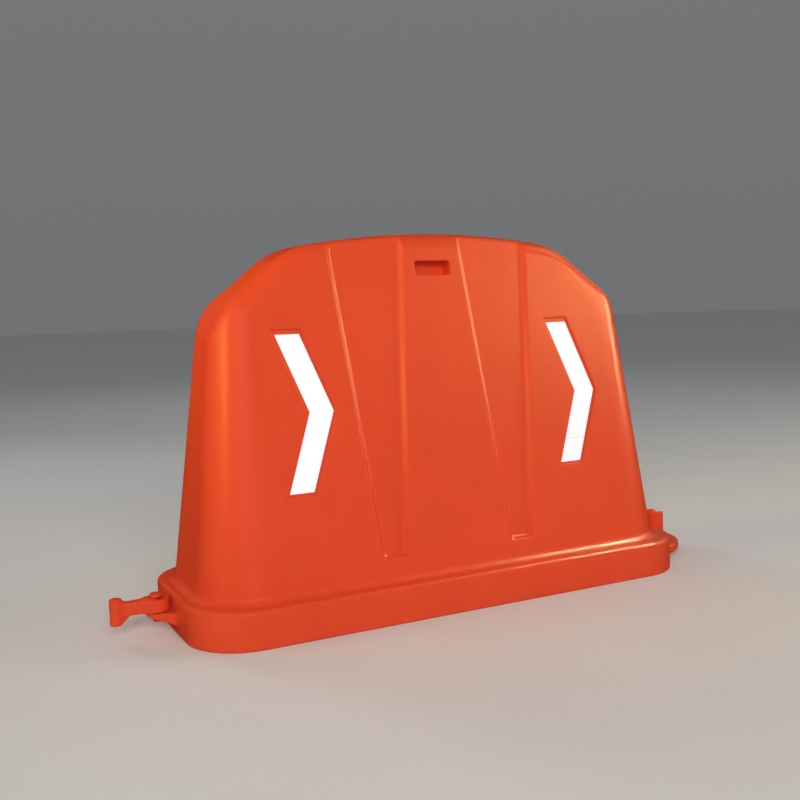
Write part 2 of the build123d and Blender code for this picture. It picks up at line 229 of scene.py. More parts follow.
# ------------------------------------------------------------------ mesh helpers
class Builder:
    """collects vertices (mm) and faces, and makes one smooth-shaded piece"""

    def __init__(self):
        self.v, self.f, self.uv, self.n = [], [], [], 0

    def add(self, pts):
        pts = np.asarray(pts, float).reshape(-1, 3)
        i = np.arange(self.n, self.n + len(pts))
        self.v.append(pts)
        self.n += len(pts)
        return i

    def quads(self, q):
        self.f.extend(np.asarray(q).reshape(-1, 4).tolist())

    def bridge(self, a, b, closed=True):
        """quads between two loops of indices, a outside or below b"""
        a, b = np.asarray(a), np.asarray(b)
        if closed:
            self.quads(np.stack([a, np.roll(a, -1), np.roll(b, -1), b], 1))
        else:
            self.quads(np.stack([a[:-1], a[1:], b[1:], b[:-1]], 1))

    def make(self, name, smooth_angle=None):
        v = np.concatenate(self.v) * MM
        used = np.zeros(len(v), bool)
        for f in self.f:
            used[f] = True
        new = np.cumsum(used) - 1
        me = bpy.data.meshes.new(name)
        me.from_pydata(v[used].tolist(), [], [[int(new[i]) for i in f] for f in self.f])
        me.validate()
        me.update()
        me.shade_smooth()
        if smooth_angle is not None:
            me.set_sharp_from_angle(angle=math.radians(smooth_angle))
        ob = bpy.data.objects.new(name, me)
        bpy.context.scene.collection.objects.link(ob)
        return ob


def net(f, lo, hi, h, settle=4):
    """closed quad skin of the region f < 0, its points settled onto f = 0"""
    ax = [np.arange(lo[i] - 1.5 * h, hi[i] + 2.5 * h, h) for i in range(3)]
    g = np.stack(np.meshgrid(*ax, indexing="ij"), -1)
    shp = g.shape[:3]
    val = f(g.reshape(-1, 3)).reshape(shp)
    ins = val < 0
    n = np.array(shp) - 1
    acc, cnt = np.zeros((*n, 3)), np.zeros(n)
    for axis in range(3):
        sl0 = [slice(None)] * 3
        sl1 = [slice(None)] * 3
        sl0[axis], sl1[axis] = slice(0, -1), slice(1, None)
        a, b = val[tuple(sl0)], val[tuple(sl1)]
        cross = (a < 0) != (b < 0)
        idx = np.argwhere(cross)
        if not len(idx):
            continue
        va, vb = a[cross], b[cross]
        pt = g[tuple(sl0)][cross].copy()
        pt[:, axis] += h * va / (va - vb)
        o = [i for i in range(3) if i != axis]
        for d0 in (0, -1):
            for d1 in (0, -1):
                c = idx.copy()
                c[:, o[0]] += d0
                c[:, o[1]] += d1
                ok = ((c >= 0) & (c < n)).all(1)
                np.add.at(acc, tuple(c[ok].T), pt[ok])
                np.add.at(cnt, tuple(c[ok].T), 1)
    act = cnt > 0
    num = np.full(n, -1)
    num[act] = np.arange(act.sum())
    v = acc[act] / cnt[act][:, None]
    faces = []
    for axis in range(3):
        sl0 = [slice(None)] * 3
        sl1 = [slice(None)] * 3
        sl0[axis], sl1[axis] = slice(0, -1), slice(1, None)
        a, b = ins[tuple(sl0)], ins[tuple(sl1)]
        idx = np.argwhere(a != b)
        o0, o1 = [(1, 2), (2, 0), (0, 1)][axis]
        q = []
        for d0, d1 in ((-1, -1), (0, -1), (0, 0), (-1, 0)):
            c = idx.copy()
            c[:, o0] += d0
            c[:, o1] += d1
            q.append(num[tuple(c.T)])
        q = np.stack(q, 1)
        flip = ~a[tuple(idx.T)]
        q[flip] = q[flip][:, ::-1]
        faces.append(q)
    for _ in range(settle):
        d = f(v)
        v = v - 0.9 * np.clip(d, -h, h)[:, None] * gradient(f, v, 0.05)
    return v, np.concatenate(faces)


def add_net(bld, f, lo, hi, h, settle=4):
    v, q = net(f, lo, hi, h, settle)
    i = bld.add(v)
    bld.quads(i[q])


def lathe(bld, profile, seg=72, axis="z", at=(0, 0, 0), solid=False):
    """turned ring from a closed outline of (radius, height), anticlockwise with the radius to the right; a radius may be
    a function of the angle; solid outlines run from the foot to the head and are capped flat"""
    ang = np.arange(seg) * 2 * math.pi / seg
    loops = []
    for r, h in profile:
        r = r(ang) if callable(r) else r
        c, s = np.cos(ang) * r, np.sin(ang) * r
        z = np.full(seg, float(h))
        p = np.stack([c, s, z], 1) if axis == "z" else np.stack([s, z, c], 1)
        loops.append(bld.add(p + np.array(at)))
    for i in range(1 if solid else 0, len(loops)):
        bld.bridge(loops[i - 1], loops[i])
    if solid:
        bld.f.append(loops[0][::-1].tolist())
        bld.f.append(loops[-1].tolist())


def ring_profile(ro, ri, z0, z1, e):
    return [(ri + e, z0), (ro - e, z0), (ro, z0 + e), (ro, z1 - e), (ro - e, z1), (ri + e, z1), (ri, z1 - e), (ri, z0 + e)]


# ------------------------------------------------------------------ the moulded shell
def chevron_x(z, edge, side):
    """x of a pocket edge at height z (edge -1 left, +1 right), easing to an even spread above and below"""
    s = np.clip((z - CH_Z) * UP, -HH - PK_FOOT - 2.5, HH + PK_TOP + 2.5)
    x = side * CH_X + _t - CH_TIP * np.abs(s) / HH + edge * (_w + _gx)
    zt = CH_Z + (HH + PK_TOP) / UP
    e = np.clip((z - zt - 2) / 70, 0, 1)
    e = e * e * (3 - 2 * e)
    goal = {(-1, -1): -368.0, (1, -1): -300.0, (-1, 1): 285.0, (1, 1): 352.0}[(edge, side)]
    return x * (1 - e) + goal * e


def flute_w(z):
    return FL_LOW + W_RATE * (z - FL_ZL) * UP


KEYS = {
    "L": lambda z: -(A(z) - C(z)), "R": lambda z: A(z) - C(z),
    "c1": lambda z: chevron_x(z, -1, -1), "c2": lambda z: chevron_x(z, 1, -1),
    "c3": lambda z: chevron_x(z, -1, 1), "c4": lambda z: chevron_x(z, 1, 1),
    "f1": lambda z: MID - FL_X - flute_w(z), "f2": lambda z: MID - FL_X + flute_w(z),
    "f3": lambda z: MID + FL_X - flute_w(z), "f4": lambda z: MID + FL_X + flute_w(z),
}
POCKET_OFF = [-7, -2.6, -1.6, -1.1, -0.6, -0.22, -0.02, 0.02, 0.22, 0.6, 1.2, 2.4, 7]
FLUTE_OFF = [-14, -7, -3.6, -2.4, -1.4, -0.4, 0.6, 1.8, 3.6, 5.4, 7.0, 8.4, 10.0, 11.6, 13.4, 16.5, 22]


def front_columns():
    """every column of the face as (key, offset, key, offset, share)"""
    cols = [("L", 0.0, "L", 0.0, 0.0)]

    def between(n, k1, o1, k2, o2):
        for i in range(1, n + 1):
            cols.append((k1, o1, k2, o2, i / (n + 1)))

    def cluster(k, offs):
        for o in offs:
            cols.append((k, o, k, o, 0.0))

    rev = [-o for o in FLUTE_OFF[::-1]]
    between(6, "L", 0, "c1", -7)
    cluster("c1", POCKET_OFF)
    between(8, "c1", 7, "c2", -7)
    cluster("c2", POCKET_OFF)
    between(6, "c2", 7, "f1", -14)
    cluster("f1", FLUTE_OFF)
    between(7, "f1", 22, "f2", -22)
    cluster("f2", rev)
    c0 = len(cols) - 1
    between(19, "f2", 14, "f3", -14)
    c1 = len(cols)
    cluster("f3", FLUTE_OFF)
    between(7, "f3", 22, "f4", -22)
    cluster("f4", rev)
    between(6, "f4", 14, "c3", -7)
    cluster("c3", POCKET_OFF)
    between(8, "c3", 7, "c4", -7)
    cluster("c4", POCKET_OFF)
    between(6, "c4", 7, "R", 0)
    cols.append(("R", 0.0, "R", 0.0, 0.0))
    return cols, c0, c1


FCOLS, PANEL0, PANEL1 = front_columns()
N_CORNER, N_END = 24, 14


N_FC = len(FCOLS)
COLS = (
    [("front", i) for i in range(N_FC)] + [("fr", i) for i in range(1, N_CORNER)]
    + [("right", i) for i in range(N_END + 1)] + [("rr", i) for i in range(1, N_CORNER)]
    + [("rear", i) for i in range(N_FC)] + [("rl", i) for i in range(1, N_CORNER)]
    + [("left", i) for i in range(N_END + 1)] + [("fl", i) for i in range(1, N_CORNER)]
)
NC = len(COLS)


def column_xy(k, z):
    """plan position of column k at heights z on the plain tapered body, and its horizontal normal"""
    kind, i = COLS[k]
    z = np.asarray(z, float)
    a, b, c = A(z), B(z), C(z)
    one, zero = np.ones_like(z), np.zeros_like(z)
    if kind in ("front", "rear"):
        k1, o1, k2, o2, w = FCOLS[i]
        x = (KEYS[k1](z) + o1) * (1 - w) + (KEYS[k2](z) + o2) * w
        x, y, nx, ny = x, -b, zero, -one
        if kind == "rear":
            x, y, ny = -x, -y, -ny
    elif kind in ("right", "left"):
        t = i / N_END * 2 - 1
        x, y, nx, ny = a, (b - c) * t, one, zero
        if kind == "left":
            x, y, nx = -x, -y, -nx
    else:
        th = i / N_CORNER * math.pi / 2
        sn, cs = math.sin(th), math.cos(th)
        if kind in ("fr", "rl"):
            x, y, nx, ny = (a - c) + c * sn, -(b - c) - c * cs, sn * one, -cs * one
        else:
            x, y, nx, ny = (a - c) + c * cs, (b - c) + c * sn, cs * one, sn * one
        if kind in ("rl", "fl"):
            x, y, nx, ny = -x, -y, -nx, -ny
    return x, y, nx, ny


def plinth_xy(k):
    """plan position of column k on the plinth outline"""
    kind, i = COLS[k]
    sx, sy = PL_X - PL_R, PL_Y - PL_R
    if kind in ("front", "rear", "right", "left"):
        z = np.array([88.0])
        x, y, nx, ny = (float(q[0]) for q in column_xy(k, z))
        if kind in ("front", "rear"):
            return x * sx / float(A(88.0) - C(88.0)), math.copysign(PL_Y, y), 0.0, math.copysign(1, y)
        return math.copysign(PL_X, x), y * sy / float(B(88.0) - C(88.0)), math.copysign(1, x), 0.0
    x, y, nx, ny = (float(q[0]) for q in column_xy(k, np.array([88.0])))
    return math.copysign(sx, x) + PL_R * nx, math.copysign(sy, y) + PL_R * ny, nx, ny


Z_FIX = np.array([
    95.2, 97.6, 101.4, 107, 113, 117.5, 120.5, 122.6, 124, 125.2, 126.4, 127.8, 129.6, 131.4, 133.4, 135.6, 138.4, 142,
    149, 160, 175, 192, 210, 228, 246, 259])
_zb, _ztp = CH_Z - (HH + PK_FOOT) / UP, CH_Z + (HH + PK_TOP) / UP
Z_FIX = np.concatenate([
    Z_FIX, _zb + np.array(POCKET_OFF), [290, 304, 320, 338, 356, 374, 392, 410, 424, 433, CH_Z, 444, 453, 467, 485,
    503, 521, 539, 557, 573, 587], _ztp + np.array(POCKET_OFF)])
Z_JOIN = Z_FIX[-1]
STRETCH = np.array([0.07, 0.16, 0.27, 0.38, 0.485, 0.57, 0.615, 0.655, 0.695, 0.735, 0.775, 0.815, 0.855, 0.895, 0.925, 0.955, 0.98, 1.0])
FAN = np.array([0.04, 0.1, 0.17, 0.24, 0.31, 0.38, 0.45, 0.52, 0.58, 0.63, 0.67, 0.71, 0.75, 0.8, 0.86, 0.93, 1.0])


FILL_FAN = 12          # the fan row where the filler recess block begins


def column_round(k):
    """radius of the turn from wall to roof that the rows of column k follow"""
    kind, i = COLS[k]
    if kind in ("front", "rear"):
        return TOP_ROUND
    t = {"fr": i / N_CORNER, "rl": i / N_CORNER, "rr": 1 - i / N_CORNER, "fl": 1 - i / N_CORNER}.get(kind, 1.0)
    t = t * t * (3 - 2 * t)
    return TOP_ROUND + (END_ROUND - TOP_ROUND) * t


def build_shell():
    bld = Builder()
    rows = []          # index arrays, one per row of the profile, NC long
    # ---- plinth, ledge and hollow fillet, placed directly
    P = np.array([plinth_xy(k) for k in range(NC)])
    px, py, pn = P[:, 0], P[:, 1], P[:, 2:4]

    def ring(inset, z):
        return np.column_stack([px - pn[:, 0] * inset, py - pn[:, 1] * inset, np.full(NC, z)])

    prof = [(BOT_R, 0.0)]
    for a in (30, 60):
        prof.append((BOT_R * (1 - math.sin(math.radians(a))), BOT_R * (1 - math.cos(math.radians(a)))))
    prof += [(0.0, BOT_R), (0.0, 6.0), (0, 14), (0, 25), (0, 36), (0, 47), (0, 58), (0, 67.5)]
    for a in np.linspace(0, 90, 10):
        prof.append((RIM * (1 - math.cos(math.radians(a))), PL_H - RIM + RIM * math.sin(math.radians(a))))
    wall_rows = (4, 10)
    for o, z in prof:
        rows.append(bld.add(ring(o, z)))
    base = np.array([[float(q[0]) for q in column_xy(k, np.array([PL_H + LEDGE_F]))] for k in range(NC)])
    nb = base[:, 2:4]
    pts = np.column_stack([base[:, :2], np.full(NC, PL_H + LEDGE_F)])
    _, ns = f_side(pts)
    tan_d = ns[:, 2] / np.hypot(ns[:, 0], ns[:, 1])          # lean of the wall
    cosd = 1 / np.sqrt(1 + tan_d ** 2)
    out_c = LEDGE_F / cosd                                    # fillet centre, out from the wall
    cen = pts + np.column_stack([nb * out_c[:, None], np.zeros(NC)])
    start = cen - np.array([0, 0, LEDGE_F])
    rim_in = ring(RIM, PL_H)
    for w in (0.3, 0.7):
        rows.append(bld.add(rim_in * (1 - w) + start * w))
    full = math.pi / 2 - np.arctan(tan_d)
    for w in np.linspace(0, 1, 11):
        ang = -math.pi / 2 - w * full                         # from straight down round to the wall
        c, s = np.cos(ang), np.sin(ang)
        rows.append(bld.add(cen + LEDGE_F * np.column_stack([nb[:, 0] * c, nb[:, 1] * c, s])))
    z_fillet_end = cen[:, 2] - LEDGE_F * np.sin(np.arctan(tan_d))
    # ---- body wall rows
    n_fix, n_str = len(Z_FIX), len(STRETCH)
    cz = np.zeros(NC)
    rad = np.array([column_round(k) for k in range(NC)])
    for k in range(NC):
        lo, hi = 520.0, 799.0
        for _ in range(50):
            z = (lo + hi) / 2
            x, y, nx, ny = (float(q[0]) for q in column_xy(k, np.array([z])))
            q = np.array([[x, y, z]])
            _, n = f_side(q)
            d, _ = f_roof(q - rad[k] * n, True)
            if d[0] + rad[k] < 0:
                lo = z
            else:
                hi = z
        cz[k] = lo
    Z = np.zeros((NC, n_fix + n_str))
    ref = Z_JOIN + 40
    for k in range(NC):
        Z[k] = np.concatenate([Z_FIX, Z_JOIN + (max(cz[k], ref) - Z_JOIN) * STRETCH])
        # near the shoulders the upper rows are drawn down under the edge
        if cz[k] < ref:
            Z[k] = np.where(Z[k] > 480, 480 + (Z[k] - 480) * (cz[k] - 480) / (ref - 480), Z[k])
    pts = np.zeros((NC, Z.shape[1], 3))
    for k in range(NC):
        x, y, nx, ny = column_xy(k, Z[k])
        pts[k] = np.column_stack([x, y, Z[k]])
    flat = pts.reshape(-1, 3)
    _, n = f_side(flat)
    surf = march(f_outer, flat + 2.0 * n, -n, 24.0)
    grid = surf.reshape(NC, -1, 3)
    wall_row0 = len(rows)
    for j in range(grid.shape[1]):
        rows.append(bld.add(grid[:, j]))
    # ---- rounding fan
    top_pt = pts[:, -1]
    _, ns = f_side(top_pt)
    cen = top_pt - rad[:, None] * ns
    _, nr = f_roof(cen, True)
    ang = np.arccos(np.clip((ns * nr).sum(1), -1, 1))
    fan_row0 = len(rows)
    for w in FAN:
        s1, s2 = np.sin((1 - w) * ang) / np.sin(ang), np.sin(w * ang) / np.sin(ang)
        d = ns * s1[:, None] + nr * s2[:, None]
        rows.append(bld.add(march(f_outer, cen + (rad[:, None] + 12.0) * d, -d, 40.0, 90)))
    for a, b in zip(rows[:-1], rows[1:]):
        bld.bridge(a, b)
    # ---- roof patch
    edge = rows[-1]
    V = np.concatenate(bld.v)
    half = N_CORNER // 2
    i_front = np.arange(-half, N_FC + half) % NC
    i_right = np.arange(N_FC + half - 1, N_FC + N_CORNER - 1 + N_END + 1 + half) % NC
    per_half = N_FC + N_CORNER - 1 + N_END + 1 + N_CORNER - 1
    i_rear = ((i_front + per_half) % NC)[::-1]
    i_left = ((i_right + per_half) % NC)[::-1]
    nu, nv = len(i_front), len(i_right)
    F, R_, Lf, Rt = V[edge[i_front]], V[edge[i_rear]], V[edge[i_left]], V[edge[i_right]]
    u = (F[:, 0] - F[0, 0]) / (F[-1, 0] - F[0, 0]) * 0.5 + (R_[:, 0] - R_[0, 0]) / (R_[-1, 0] - R_[0, 0]) * 0.5
    v = np.linspace(0, 1, nv)
    uu, vv = u[:, None, None], v[None, :, None]
    Pt = ((1 - vv) * F[:, None] + vv * R_[:, None] + (1 - uu) * Lf[None] + uu * Rt[None]
          - ((1 - uu) * (1 - vv) * F[0] + uu * (1 - vv) * F[-1] + (1 - uu) * vv * R_[0] + uu * vv * R_[-1]))
    Pt[..., 2] = roof(Pt[..., 0])[0]
    idx = np.full((nu, nv), -1)
    idx[:, 0], idx[:, -1], idx[0, :], idx[-1, :] = edge[i_front], edge[i_rear], edge[i_left], edge[i_right]
    inner = bld.add(Pt[1:-1, 1:-1])
    idx[1:-1, 1:-1] = inner.reshape(nu - 2, nv - 2)
    q = np.stack([idx[:-1, :-1], idx[1:, :-1], idx[1:, 1:], idx[:-1, 1:]], -1)
    b0, b1 = PANEL0 + half, PANEL1 + half          # the panel between the flutes carries the filler recess
    keep = np.ones(q.shape[:2], bool)
    keep[b0:b1] = False
    bld.quads(q[keep])
    # the recess also takes the last rows of the rounding, front and rear
    jf, jl = fan_row0 + FILL_FAN, len(rows) - 1
    drop = set()
    for off in (0, per_half):
        for j in range(jf, jl):
            for k in range(PANEL0 + off, PANEL1 + off):
                drop.add((int(rows[j][k]), int(rows[j + 1][k + 1])))
    fr0, fr1, re0, re1 = PANEL0, PANEL1, PANEL0 + per_half, PANEL1 + per_half
    loop = np.concatenate([
        [rows[jf][k] for k in range(fr0, fr1)], [rows[j][fr1] for j in range(jf, jl)], idx[b1, :-1],
        [rows[j][re0] for j in range(jl, jf, -1)], [rows[jf][k] for k in range(re0, re1)],
        [rows[j][re1] for j in range(jf, jl)], idx[b0, :0:-1], [rows[j][fr0] for j in range(jl, jf, -1)]])
    V = np.concatenate(bld.v)
    ang = np.unwrap(np.arctan2(V[loop][:, 1], V[loop][:, 0]))
    even = ang[0] + np.arange(len(ang)) * 2 * math.pi / len(ang)
    ang = 0.5 * ang + 0.5 * even

    def on_roof(xy):
        q_ = np.column_stack([xy, np.full(len(xy), TOP + 6)])
        return march(f_body, q_, np.array([[0, 0, -1.0]]), 60.0)

    def circle(r, dz=None, z=None):
        xy = np.column_stack([r * np.cos(ang), r * np.sin(ang)])
        return on_roof(xy) + np.array([0, 0, dz]) if z is None else np.column_stack([xy, np.full(len(xy), z)])

    mouth = circle(49.5, 0.0)
    loops = [on_roof((V[loop] * (1 - w) + mouth * w)[:, :2]) for w in (0.33, 0.66)] + [mouth]
    loops += [circle(r, dz) for r, dz in ((48.3, -0.35), (47.2, -1.1), (46.4, -2.2), (46.0, -3.5))]
    loops += [circle(46.0, z=784), circle(46.0, z=774), circle(45.6, z=772.2), circle(44.6, z=770.8), circle(43, z=770.1), circle(41, z=770),
              circle(35, z=770), circle(26.5, z=770), circle(25.6, z=769.7), circle(25.3, z=769), circle(25.3, z=762)]
    prev = loop
    for lp in loops:
        i = bld.add(lp)
        bld.bridge(prev, i)
        prev = i
    bld.f.append(prev.tolist())
    # ---- underside
    lo = rows[0]
    V = np.concatenate(bld.v)
    ins = V[lo].copy()
    ins[:, :2] -= pn * 25
    i = bld.add(ins)
    bld.bridge(i, lo)
    bld.f.append(i[::-1].tolist())

    # ---- hand slots: a block of the face grid gives way to a rounded, deep pocket
    zrow = Z[PANEL0]
    body_rows = rows[wall_row0:wall_row0 + Z.shape[1]]
    j0 = int(np.where(zrow <= SLOT_Z - SLOT_H / 2 - 6)[0][-1])
    j1 = int(np.where(zrow >= SLOT_Z + SLOT_H / 2 + 6)[0][0])
    for off in (0, per_half):
        c0, c1 = PANEL0 + off, PANEL1 + off
        for j in range(j0, j1):
            for k in range(c0, c1):
                drop.add((int(body_rows[j][k]), int(body_rows[j + 1][k + 1])))
    # ---- drain pocket in the rear plinth wall
    x_rear = px[per_half:per_half + N_FC]
    d0 = int(np.argmin(abs(x_rear - 345.0)))
    d1 = int(np.argmin(abs(x_rear - 255.0)))
    dr0, dr1 = wall_rows
    for j in range(dr0, dr1):
        for k in range(per_half + d0, per_half + d1):
            drop.add((int(rows[j][k]), int(rows[j + 1][k + 1])))
    bld.f = [f for f in bld.f if not (len(f) == 4 and (f[0], f[2]) in drop)]

    V = np.concatenate(bld.v)
    for off, sg in ((0, 1.0), (per_half, -1.0)):
        c0, c1 = PANEL0 + off, PANEL1 + off
        nx_, nz_ = c1 - c0, j1 - j0
        loop = np.concatenate([
            [body_rows[j0][k] for k in range(c0, c1)], [body_rows[j][c1] for j in range(j0, j1)],
            [body_rows[j1][k] for k in range(c1, c0, -1)], [body_rows[j][c0] for j in range(j1, j0, -1)]])

        def rrect(grow, rad=None):
            """rounded rectangle, as many points per side as the block, starting at the lower left corner's middle"""
            r = SLOT_R + grow if rad is None else rad
            hx, hz = SLOT_W / 2 + grow, SLOT_H / 2 + grow
            m = 3
            pts_ = []
            corners = [(-1, -1, 225), (1, -1, 315), (1, 1, 45), (-1, 1, 135)]
            for s in range(4):
                cx, cz_, a0 = corners[s]
                ex, ez, _ = corners[(s + 1) % 4]
                n_side = nx_ if s % 2 == 0 else nz_
                c_a = (cx * (hx - r), cz_ * (hz - r))
                c_b = (ex * (hx - r), ez * (hz - r))
                for t in range(m):
                    an = math.radians(a0 + 45 * t / m)
                    pts_.append((c_a[0] + r * math.cos(an), c_a[1] + r * math.sin(an)))
                a1 = math.radians(a0 + 45)
                pa = (c_a[0] + r * math.cos(a1), c_a[1] + r * math.sin(a1))
                pb = (c_b[0] + r * math.cos(a1), c_b[1] + r * math.sin(a1))
                n_mid = n_side - 2 * m
                for t in range(n_mid):
                    w = t / n_mid
                    pts_.append((pa[0] * (1 - w) + pb[0] * w, pa[1] * (1 - w) + pb[1] * w))
                for t in range(m):
                    an = math.radians(a0 + 45 + 45 * t / m)
                    pts_.append((c_b[0] + r * math.cos(an), c_b[1] + r * math.sin(an)))
            return np.array(pts_)

        def at(plan, depth=None, y=None):
            z = SLOT_Z + plan[:, 1]
            yy = -B(z) + depth if y is None else np.full(len(z), y)
            return np.column_stack([(plan[:, 0] + MID) * sg, yy * sg, z])

        y_in = -B(SLOT_Z) + SLOT_D
        rim = 2.6
        loops = []
        mid = 0.5 * (V[loop] + at(rrect(rim), 0.0))
        mid[:, 1] = -B(mid[:, 2]) * sg
        loops.append(mid)
        for a in (0, 22.5, 45, 67.5, 90):
            r_ = math.radians(a)
            loops.append(at(rrect(rim * (1 - math.sin(r_))), rim * (1 - math.cos(r_))))
        outer_y = loops[-1][:, 1] * sg
        for w in (0.35, 0.7):
            lp = at(rrect(0.0), 0.0)
            lp[:, 1] = (outer_y * (1 - w) + (y_in - 4) * w) * sg
            loops.append(lp)
        for a in (0, 30, 60, 90):
            r_ = math.radians(a)
            loops.append(at(rrect(-4 * (1 - math.cos(r_)), max(2.2, SLOT_R - 4 * (1 - math.cos(r_)))), y=y_in - 4 + 4 * math.sin(r_)))
        prev = loop
        for lp in loops:
            i = bld.add(lp)
            bld.bridge(prev, i)
            prev = i
        # flat back of the slot
        lp = loops[-1]
        s1, s2, s3 = nx_, nx_ + nz_, 2 * nx_ + nz_
        bot, rig, top_, lef = lp[:s1 + 1], lp[s1:s2 + 1], lp[s2:s3 + 1][::-1], np.concatenate([lp[s3:], lp[:1]])[::-1]
        uu = np.linspace(0, 1, nx_ + 1)[:, None, None]
        vv = np.linspace(0, 1, nz_ + 1)[None, :, None]
        G = ((1 - vv) * bot[:, None] + vv * top_[:, None] + (1 - uu) * lef[None] + uu * rig[None]
             - ((1 - uu) * (1 - vv) * bot[0] + uu * (1 - vv) * bot[-1] + (1 - uu) * vv * top_[0] + uu * vv * top_[-1]))
        gi = np.full((nx_ + 1, nz_ + 1), -1)
        gi[:, 0] = prev[:s1 + 1]
        gi[-1, :] = prev[s1:s2 + 1]
        gi[:, -1] = prev[s2:s3 + 1][::-1]
        gi[0, :] = np.concatenate([prev[s3:], prev[:1]])[::-1]
        gi[1:-1, 1:-1] = bld.add(G[1:-1, 1:-1]).reshape(nx_ - 1, nz_ - 1)
        bld.quads(np.stack([gi[:-1, :-1], gi[1:, :-1], gi[1:, 1:], gi[:-1, 1:]], -1))

    # drain pocket loops
    c0, c1 = per_half + d0, per_half + d1
    loop = np.concatenate([
        [rows[dr0][k] for k in range(c0, c1)], [rows[j][c1] for j in range(dr0, dr1)],
        [rows[dr1][k] for k in range(c1, c0, -1)], [rows[j][c0] for j in range(dr1, dr0, -1)]])
    V = np.concatenate(bld.v)
    L = V[loop]
    a_ = np.unwrap(np.arctan2(L[:, 2] - 36.0, -(L[:, 0] - 300.0)))
    # spread the points more evenly round the circle
    even = a_[0] + np.arange(len(a_)) * 2 * math.pi / len(a_)
    a_ = 0.35 * a_ + 0.65 * even

    def dcirc(r, y):
        return np.column_stack([300.0 - r * np.cos(a_), np.full(len(a_), y), 36.0 + r * np.sin(a_)])

    def on_wall(p):
        """push points to the plinth wall or its rim"""
        z = p[:, 2]
        over = np.clip((z - (PL_H - RIM)) / RIM, 0, 1)
        p[:, 1] = PL_Y - RIM * (1 - np.sqrt(1 - over ** 2))
        return p

    loops = [on_wall(0.5 * (L + dcirc(26.2, PL_Y))), on_wall(dcirc(26.2, PL_Y))]
    for a in (30, 60, 90):
        r_ = math.radians(a)
        lp = on_wall(dcirc(26.2 - 1.4 * math.sin(r_), PL_Y))
        lp[:, 1] -= 1.4 * (1 - math.cos(r_))
        loops.append(lp)
    loops += [dcirc(24.8, PL_Y - 8), dcirc(24.8, PL_Y - 16), dcirc(24.3, PL_Y - 17.3), dcirc(23, PL_Y - 18), dcirc(19, PL_Y - 18), dcirc(15.1, PL_Y - 18), dcirc(15.1, PL_Y - 24)]
    prev = loop
    for lp in loops:
        i = bld.add(lp)
        bld.bridge(prev, i)
        prev = i
    bld.f.append(prev.tolist())
    return bld.make("barrier_shell_skin")


shell = build_shell()
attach(shell, "barrier")
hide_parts("barrier_shell")
print("shell faces", len(shell.data.polygons))


# ------------------------------------------------------------------ fittings moulded on the ends
def f_rrect(x, y, a, b, r):
    qx, qy = np.abs(x) - a + r, np.abs(y) - b + r
    return np.hypot(np.maximum(qx, 0), np.maximum(qy, 0)) + np.minimum(np.maximum(qx, qy), 0) - r


def f_plinth(p, sink=0.0):
    d = f_rrect(p[..., 0], p[..., 1], PL_X - sink, PL_Y - sink, PL_R - sink)
    d = rmax(d, p[..., 2] - PL_H + sink, RIM)
    return rmax(d, -p[..., 2] + sink, BOT_R)


def f_cyl(p, x, y, r, z0, z1, e=0.0):
    d = np.hypot(p[..., 0] - x, p[..., 1] - y) - r
    if np.isscalar(e):
        e = (e, e)
    d = rmax(d, p[..., 2] - z1, max(e[1], 1e-3))
    return rmax(d, z0 - p[..., 2], max(e[0], 1e-3))


def half(px, pz, qx, qz, x, z):
    """signed distance to a line in the XZ plane, inside on its left"""
    l = math.hypot(qx - px, qz - pz)
    return ((x - px) * (qz - pz) - (z - pz) * (qx - px)) / l


def f_bracket(p):
    x, y, z = p[..., 0], p[..., 1], p[..., 2]
    plan = [(-587.0, -45.5), (-587.0, 45.5), (-595.0, 40.0), (-618.0, 20.2), (-618.0, -20.2), (-595.0, -40.0)]
    d = rmin(poly_sd(x, y, plan), np.hypot(x + 624.0, y) - 21.0, 6.0)
    d = rmax(d, z - 44.0, 2.0)
    under = half(-645.0, 37.0, -599.0, 20.0, x, z)
    low = rmax(under, 20.0 - z, 8.0, 0.9)
    d = rmax(d, low, 3.0)
    return d


def f_bracket_piece(p):
    d = rmin(f_bracket(p), f_plinth(p, 0.18), 5.0)
    d = np.maximum(d, p[..., 0] + 584.0)
    d = np.maximum(d, np.abs(p[..., 1]) - 56.0)
    d = np.maximum(d, np.maximum(12.0 - p[..., 2], p[..., 2] - 52.0))
    hole = np.hypot(p[..., 0] + 624.0, p[..., 1]) - 8.05
    hole = np.maximum(hole, 22.0 - p[..., 2])
    return np.maximum(d, -hole)


b = Builder()
add_net(b, f_bracket_piece, (-646, -57, 11), (-583, 57, 53), 1.25)
bracket = b.make("link_bracket_skin")


def f_tongue_piece(p):
    x, y, z = p[..., 0], p[..., 1], p[..., 2]
    tongue = f_cyl(p, 593.0, 0.0, 119.9, 9.0, 30.0, 5.0)
    top = half(589.0, 60.0, 671.0, 74.0, x, z)          # positive below the line
    web = rmax(np.abs(y) - 8.0, -top, 2.5)
    web = np.maximum(web, x - 668.0)
    d = rmin(tongue, web, 6.0)
    d = rmin(d, f_plinth(p, 0.18), 5.0)
    d = np.maximum(d, 583.0 - x)
    d = np.maximum(d, np.abs(y) - 128.0)
    d = np.maximum(d, np.maximum(5.0 - z, z - 76.0))
    return np.maximum(d, -(np.hypot(x - 671.0, y) - 25.05))


b = Builder()
add_net(b, f_tongue_piece, (582, -129, 4), (714, 129, 78), 1.6)
tongue = b.make("receiver_tongue_skin")
for o in (bracket, tongue):
    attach(o, "barrier")
    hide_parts("barrier_shell")


